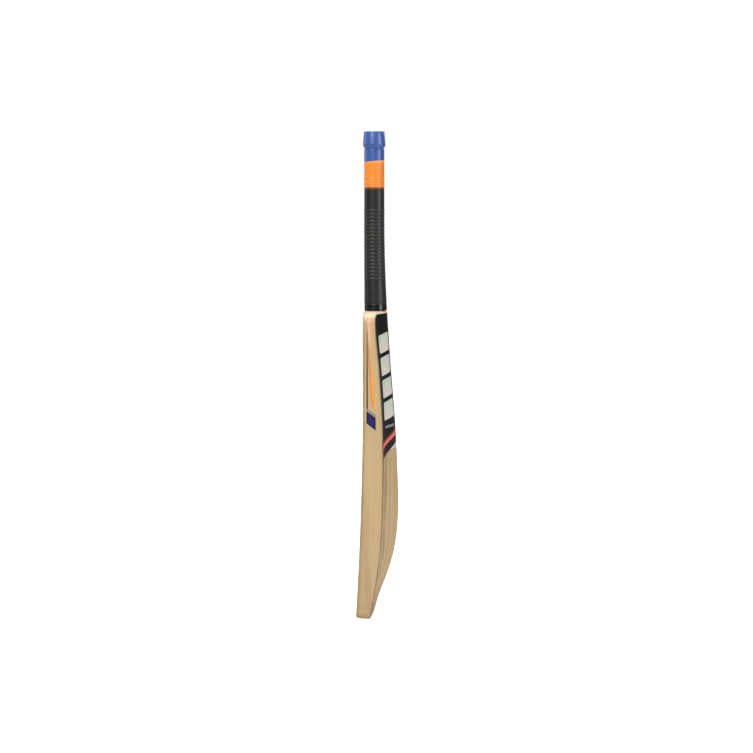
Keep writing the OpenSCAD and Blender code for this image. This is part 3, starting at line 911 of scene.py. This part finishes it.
def makeWillow():
    material, tree, shader, coords = newMaterial("oiledWillow", Specular_IOR_Level=0.35)
    grain = willowGrain(tree, coords).outputs
    z = separated(tree, coords)["Z"]
    handled = times(tree, attributeValue(tree, "arris"),
                    remap(tree, noiseAt(tree, coords, 60, 4, 0.6, (1, 1, 0.35)), 0.3, 0.72, 0.3, 1.0))
    # painted shade: the wood darkens along the back of each edge, where the dip behind it falls into shade
    hollowShade = times(tree, attributeValue(tree, "hollowShade"),
                   remap(tree, noiseAt(tree, coords, 40, 3, 0.5, (1, 1, 0.3)), 0.25, 0.7, 0.5, 1.0))
    # painted highlight: the top 20 mm of the blade, towards the shoulder, is painted paler as if lit from
    # above
    shoulderHighlight = remap(tree, z, zAt(bladeLength - 0.020), zAt(bladeLength - 0.001))
    grime = times(tree, remap(tree, z, zAt(0.05), zAt(0.002)),
                  remap(tree, noiseAt(tree, coords, 45, 5, 0.65), 0.42, 0.75))
    shade = stain(tree, grain["Color"], handled, 0.5, srgb(*woodLook["handled"]), "MULTIPLY")
    shade = stain(tree, shade, hollowShade, 0.75, srgb(*woodLook["hollowShade"]), "MULTIPLY")
    shade = stain(tree, shade, shoulderHighlight, 0.55, srgb(*woodLook["shoulderHighlight"]))
    shade = stain(tree, shade, grime, 0.4, srgb(*woodLook["toeGrime"]))
    rough = plus(tree, woodLook["roughness"], times(tree, grain["Tone"], 0.2))
    rough = plus(tree, rough, times(tree, grime, 0.12))
    finishLook(tree, shader, shade, rough, grain["Height"], 0.0001, 0.5)
    return material


def makeCaneFinish():
    material, tree, shader, coords = newMaterial("caneStrips", Specular_IOR_Level=0.4)
    grain = useGroup(tree, woodGrain, {
        "Vector": coords, "Ring Spacing": 0.0021, "Wander": 0.0009, "Light": (*srgb(*caneLook["light"]), 1),
        "Dark": (*srgb(*caneLook["dark"]), 1), "Line Strength": 0.35}).outputs
    pores = remap(tree, noiseAt(tree, coords, 1500, 1, 0.4, (1, 1, 0.025)), 0.66, 0.72)
    sawn = remap(tree, separated(tree, coords)["Z"], -0.0006, -0.0001)
    shade = stain(tree, grain["Color"], pores, 0.55, srgb(*caneLook["pore"]))
    shade = stain(tree, shade, sawn, 0.25, srgb(*caneLook["sawn"]), "MULTIPLY")
    finishLook(tree, shader, shade, 0.45, minus(tree, grain["Height"], pores), 0.00012, 0.6)
    return material


def makeRubber(name, colour, dust, roughness, dusty=0.4, crestWearAndHighlight=0.0, foot=None, rim=None, **fixed):
    # the crest setting lightens rib tops, partly wear and partly a painted highlight; rim is the depth of
    # the band's top, which pales towards the dust colour, and foot the depth of its foot, above which
    # painted shade darkens the groove at the black sleeve
    material, tree, shader, coords = newMaterial(name, **fixed)
    colour, dust = srgb(*colour), srgb(*dust)
    marks = useGroup(tree, scuffs, {"Vector": coords, "Size": 160.0, "Amount": dusty}).outputs
    cloud = noiseAt(tree, coords, 55, 4, 0.55, (1, 1, 0.5))
    shadow = tuple(channel * 0.62 for channel in colour)
    shade = stain(tree, colour, remap(tree, cloud, 0.35, 0.7), 0.35, shadow)
    shade = stain(tree, shade, marks["Mask"], 0.3, dust)
    shade = stain(tree, shade, marks["Scratches"], 0.12, dust)
    # partly wear and partly a painted highlight: the rib tops are lightened towards the dust colour
    if crestWearAndHighlight:
        shade = stain(tree, shade, remap(tree, attributeValue(tree, "crest"), 0.35, 1.0), crestWearAndHighlight, dust)
    depth = times(tree, separated(tree, coords)["Z"], -1.0)
    if rim:
        shade = mixColour(tree, remap(tree, depth, rim + 0.006, rim + 0.0015, 0.0, 0.45), shade, dust)
    if foot:
        # painted shade: the band darkens above its foot, in the groove where it meets the black sleeve
        grooveShade = remap(tree, depth, foot - 0.0052, foot - 0.002, 0.0, 0.92)
        shade = mixColour(tree, grooveShade, shade, srgb(58, 30, 14))
    rough = plus(tree, roughness - 0.05, times(tree, cloud, 0.14))
    skin = plus(tree, noiseAt(tree, coords, 1600, 3, 0.6), times(tree, marks["Scratches"], -0.4))
    finishLook(tree, shader, shade, rough, skin, 0.00006, 0.45)
    return material


def makeTwineFinish():
    material, tree, shader, coords = newMaterial("waxedTwine", Specular_IOR_Level=0.4)
    strands = noiseAt(tree, coords, 2600, 3, 0.6, (1, 1, 0.5))
    shade = mixColour(tree, strands, srgb(150, 96, 60), srgb(92, 54, 34))
    shade = stain(tree, shade, noiseAt(tree, coords, 70, 3, 0.5), 0.4, srgb(60, 40, 28))
    finishLook(tree, shader, shade, 0.6, strands, 0.00008, 0.7)
    return material


def makeTapeFinish():
    material, tree, shader, coords = newMaterial("glossTape", Specular_IOR_Level=0.55)
    smear = noiseAt(tree, coords, 120, 4, 0.6, (1, 1, 2))
    shade = mixColour(tree, smear, srgb(6, 6, 8), srgb(22, 20, 24))
    finishLook(tree, shader, shade, remap(tree, smear, 0.3, 0.8, 0.2, 0.36),
               noiseAt(tree, coords, 260, 3, 0.5, (1, 1, 2)), 0.0003, 0.3)
    return material


def makeInk(name, ink, worn, roughness, streak=0.12, wear=0.35, **fixed):  # ink is a colour or a design
    material, tree, shader, coords = newMaterial(name, Specular_IOR_Level=0.25, **fixed)
    marks = useGroup(tree, scuffs, {"Vector": coords, "Size": 110.0, "Amount": wear}).outputs
    grainLines = noiseAt(tree, coords, 260, 3, 0.5, (1, 1, 0.03))
    shade = ink(tree, coords) if callable(ink) else srgb(*ink)
    for mask, strength in ((grainLines, streak), (marks["Mask"], 0.22), (marks["Scratches"], 0.3)):
        shade = stain(tree, shade, mask, strength, srgb(*worn))
    rough = plus(tree, roughness - 0.04, times(tree, marks["Mask"], 0.25))
    finishLook(tree, shader, shade, rough, minus(tree, grainLines, marks["Scratches"]), 0.00005, 0.4)
    return material


def sheetPlace(tree):  # the share across and the share up a sheet
    place = separated(tree, addNode(tree, "ShaderNodeUVMap", {"uv_map": "sheet"}).outputs[0])
    return place["X"], place["Y"]


def fromSides(tree, value):  # distance from the nearer of two sides
    return sums(tree, "MINIMUM", value, minus(tree, 1.0, value))


def near(tree, value, centre, half, soft):  # 1 within half of centre, fading out over soft
    away = sums(tree, "ABSOLUTE", minus(tree, value, centre))
    return remap(tree, away, half + soft, half)


def flameDesign(tree, coords):  # clear film over the wood, with a pinstripe and a slanting flame
    u, v = sheetPlace(tree)
    streaks = minus(tree, noiseAt(tree, coords, 170, 3, 0.6, (1, 1, 0.1)), 0.5)
    blush = times(tree, near(tree, v, 0.86, 0.08, 0.16), near(tree, plus(tree, u, streaks), 0.3, 0.1, 0.25))
    shade = stain(tree, willowGrain(tree, coords).outputs["Color"], blush, 0.65, srgb(*flameLook["blush"]))
    # the flame leans from the pinstripe at its top to the far side at its foot
    lean = plus(tree, times(tree, v, -0.8), 0.86)
    across = plus(tree, minus(tree, u, lean), times(tree, streaks, 0.5))
    tall = times(tree, remap(tree, v, 0.9, 0.62), remap(tree, v, 0.01, 0.1))
    for shift, half, soft, high, most, tone in flameLook["tongues"]:
        tongue = times(tree, tall, near(tree, minus(tree, across, shift), 0.0, half, soft))
        tongue = times(tree, tongue, remap(tree, v, high, high - 0.2, 0.0, most))
        shade = mixColour(tree, tongue, shade, srgb(*tone))
    stripe = times(tree, remap(tree, u, 0.19, 0.14), remap(tree, v, 0.98, 0.8))
    stripeTone = mixColour(tree, remap(tree, v, 0.2, 0.9), srgb(*flameLook["stripeLow"]),
                           srgb(*flameLook["stripeHigh"]))
    return mixColour(tree, stripe, shade, stripeTone)


def blockDesign(tree, coords):  # dark blue with a black outline
    u, v = sheetPlace(tree)
    inside = times(tree, remap(tree, fromSides(tree, u), 0.09, 0.13),
                   remap(tree, fromSides(tree, v), 0.06, 0.09))
    return mixColour(tree, inside, srgb(12, 10, 20), srgb(38, 32, 98))


def panelDesign(tree, coords):  # silver print, cool at its top and warm at its foot
    u, v = sheetPlace(tree)
    base = mixColour(tree, remap(tree, v, 0.0, 1.0), srgb(228, 218, 208), srgb(206, 214, 198))
    edge = sums(tree, "MINIMUM", fromSides(tree, u), fromSides(tree, v))
    return mixColour(tree, remap(tree, edge, 0.05, 0.0, 0.0, 0.35), base, srgb(150, 150, 146))


def salmonDesign(tree, coords):  # dark red along the top, salmon below
    lower = remap(tree, sheetPlace(tree)[1], 0.7, 0.6)
    return mixColour(tree, lower, srgb(112, 12, 14), srgb(236, 108, 90))


willow = makeWillow()
caneFinish = makeCaneFinish()
springRubber = makeRubber("springRubber", (48, 46, 44), (110, 106, 98), 0.75)
twineFinish = makeTwineFinish()
gripBlue = makeRubber("gripBlue", (62, 92, 164), (150, 164, 200), 0.32, dusty=0.2, Specular_IOR_Level=0.6)
gripOrange = makeRubber("gripOrange", (248, 142, 40), (250, 184, 124), 0.42, 0.3, crestWearAndHighlight=0.2,
                        foot=gripShape["bandEnd"], rim=gripShape["neckEnd"])
gripBlack = makeRubber("gripBlack", (25, 24, 23), (84, 79, 73), 0.42, 0.15, crestWearAndHighlight=0.26)
glossTape = makeTapeFinish()
inks = {
    "label_black": makeInk("labelBlack", (5, 5, 5), (40, 38, 34), 0.5, streak=0.04, wear=0.15),
    "label_silver": makeInk("labelSilver", panelDesign, (184, 180, 172), 0.36),
    "label_grey": makeInk("labelGrey", (150, 148, 144), (110, 106, 102), 0.36, Metallic=0.2),
    "label_salmon": makeInk("labelSalmon", salmonDesign, (240, 190, 170), 0.42),
    "label_purple": makeInk("labelPurple", (38, 6, 22), (80, 50, 62), 0.5, streak=0.04, wear=0.2),
    "label_white": makeInk("labelWhite", (206, 220, 230), (170, 172, 170), 0.36),
    "label_flame": makeInk("labelFlame", flameDesign, (214, 190, 160), 0.36),
    "label_blue": makeInk("labelBlue", blockDesign, (92, 86, 130), 0.34, streak=0.06)}
print("finishes made")


# Everything is fitted to its place on the bat.
def markEdges(obj):  # how far each point sits on a rounded edge, and how near it sits to a back edge, where the wood gets painted shade
    mesh = obj.data
    count = len(mesh.vertices)
    normals, places = np.empty(count * 3), np.empty(count * 3)
    mesh.vertices.foreach_get("normal", normals)
    mesh.vertices.foreach_get("co", places)
    normals, places = normals.reshape(-1, 3), places.reshape(-1, 3)
    nearEdge = np.abs(places[:, 0]) > halfWidth - bladeShape["shoulderCorner"]
    turned = np.clip(2 * np.abs(normals[:, 0] * normals[:, 1]), 0, 1) * nearEdge
    ends = np.clip(np.abs(normals[:, 2]) * 1.5, 0, 1)
    inwards = halfWidth - np.abs(places[:, 0])
    # a mask for painted shade along the back of each edge
    hollowShade = np.clip(1.6 - inwards / 0.005, 0, 1) * (normals[:, 1] > 0.5)
    addValues(mesh, "arris", np.maximum(turned, ends))
    addValues(mesh, "hollowShade", hollowShade)


markEdges(blade)
finishPiece(blade, "blade", willow)
for nodeName, obj in canes.items():
    finishPiece(obj, nodeName, caneFinish)
for nodeName, obj in springs.items():
    finishPiece(obj, nodeName, springRubber)
finishPiece(makeTwine(twineFinish), "twine_binding", twineFinish)

collar, band, sleeve, tape = makeCollar(), makeBand(), makeSleeve(), makeTape()
raiseRibs(band, gripOrange, gripShape["bandRibsStart"], gripShape["bandRibCount"],
          gripShape["bandRibPitch"])
raiseRibs(sleeve, gripBlack, gripShape["ribsStart"], gripShape["ribCount"], gripShape["ribPitch"])
smooth(collar, 50)
smooth(tape, 50)
for obj, nodeName, slotName, material in (
        (collar, "grip_collar", "grip_blue", gripBlue), (band, "grip_band", "grip_orange", gripOrange),
        (sleeve, "grip_sleeve", "grip_black", gripBlack),
        (tape, "grip_foot_tape", "gloss_tape", glossTape)):
    finishPiece(obj, nodeName, material)
print("grip fitted")

makeBackLabel(inks)
for side, sign in (("left", -1.0), ("right", 1.0)):
    makeEdgeLabels(side, sign, inks)
for spare in (blank, slotCutter, core):
    bpy.data.objects.remove(spare)
print("labels laid")


# Floor, light and camera.
studio = {"floorSize": 30.0, "floorGap": 0.0004, "white": (0.9, 0.9, 0.89),
          "clouded": (0.93, 0.93, 0.925), "world": 0.13, "backdrop": 1.0, "floorGlow": 0.95,
          "lights": [  # name, place, width and height, power
              ["keyLight", (2.4, -0.9, 0.9), (0.9, 1.0), 30],
              ["sideLight", (1.2, 2.2, 0.25), (0.8, 1.1), 26],
              ["topLight", (0.3, -0.3, 1.3), (0.7, 0.7), 24],
              ["faceLight", (-1.0, -2.4, 0.3), (1.2, 1.4), 9],
              ["backLight", (-2.0, 1.2, 0.7), (1.4, 1.4), 9]],
          "cameraPlace": (2.5964, 0.1361, -0.09), "aim": (0.0, 0.0, -0.42696), "lens": 71.0,
          "shiftX": 0.0029}


def makeFloor():
    half = studio["floorSize"] / 2
    low = cadBox[0].z - studio["floorGap"]
    corners = [(-half, -half, low), (half, -half, low), (half, half, low), (-half, half, low)]
    floor = makeMesh("floor", corners, [(0, 1, 2, 3)])
    material, tree, shader, coords = newMaterial("paleFloor", Roughness=0.9, Specular_IOR_Level=0.1)
    tone = mixColour(tree, noiseAt(tree, coords, 6, 3, 0.5), studio["white"], studio["clouded"])
    feed(tree, shader.inputs["Base Color"], tone)
    feed(tree, shader.inputs["Emission Color"], (1, 1, 1, 1))
    seen = addNode(tree, "ShaderNodeLightPath").outputs["Is Camera Ray"]
    feed(tree, shader.inputs["Emission Strength"], times(tree, seen, studio["floorGlow"]))
    floor.data.materials.append(material)


def aimed(name, data, place):  # stands at a place and looks at the bat
    obj = addObject(name, data)
    obj.location = place
    obj.rotation_euler = (Vector(studio["aim"]) - Vector(place)).to_track_quat("-Z", "Y").to_euler()
    return obj


def addLight(name, place, size, power):
    light = bpy.data.lights.new(name, "AREA")
    light.shape, light.size, light.size_y = "RECTANGLE", size[0], size[1]
    light.energy = power
    aimed(name, light, place)


def makeStudio():
    scene = bpy.context.scene
    world = bpy.data.worlds.new("studio")
    scene.world = world
    world.use_nodes = True
    tree = world.node_tree
    seen = addNode(tree, "ShaderNodeLightPath").outputs["Is Camera Ray"]
    strength = plus(tree, studio["world"], times(tree, seen, studio["backdrop"] - studio["world"]))
    feed(tree, tree.nodes["Background"].inputs["Strength"], strength)
    feed(tree, tree.nodes["Background"].inputs["Color"], (1, 1, 1, 1))
    for values in studio["lights"]:
        addLight(*values)
    scene.view_settings.view_transform = "Standard"


def makeCamera():
    camera = bpy.data.cameras.new("camera")
    camera.lens, camera.sensor_width, camera.shift_x = studio["lens"], 36.0, studio["shiftX"]
    camera.clip_end = 2 * studio["floorSize"]
    bpy.context.scene.camera = aimed("camera", camera, studio["cameraPlace"])


makeFloor()
makeStudio()
makeCamera()
print("studio ready")
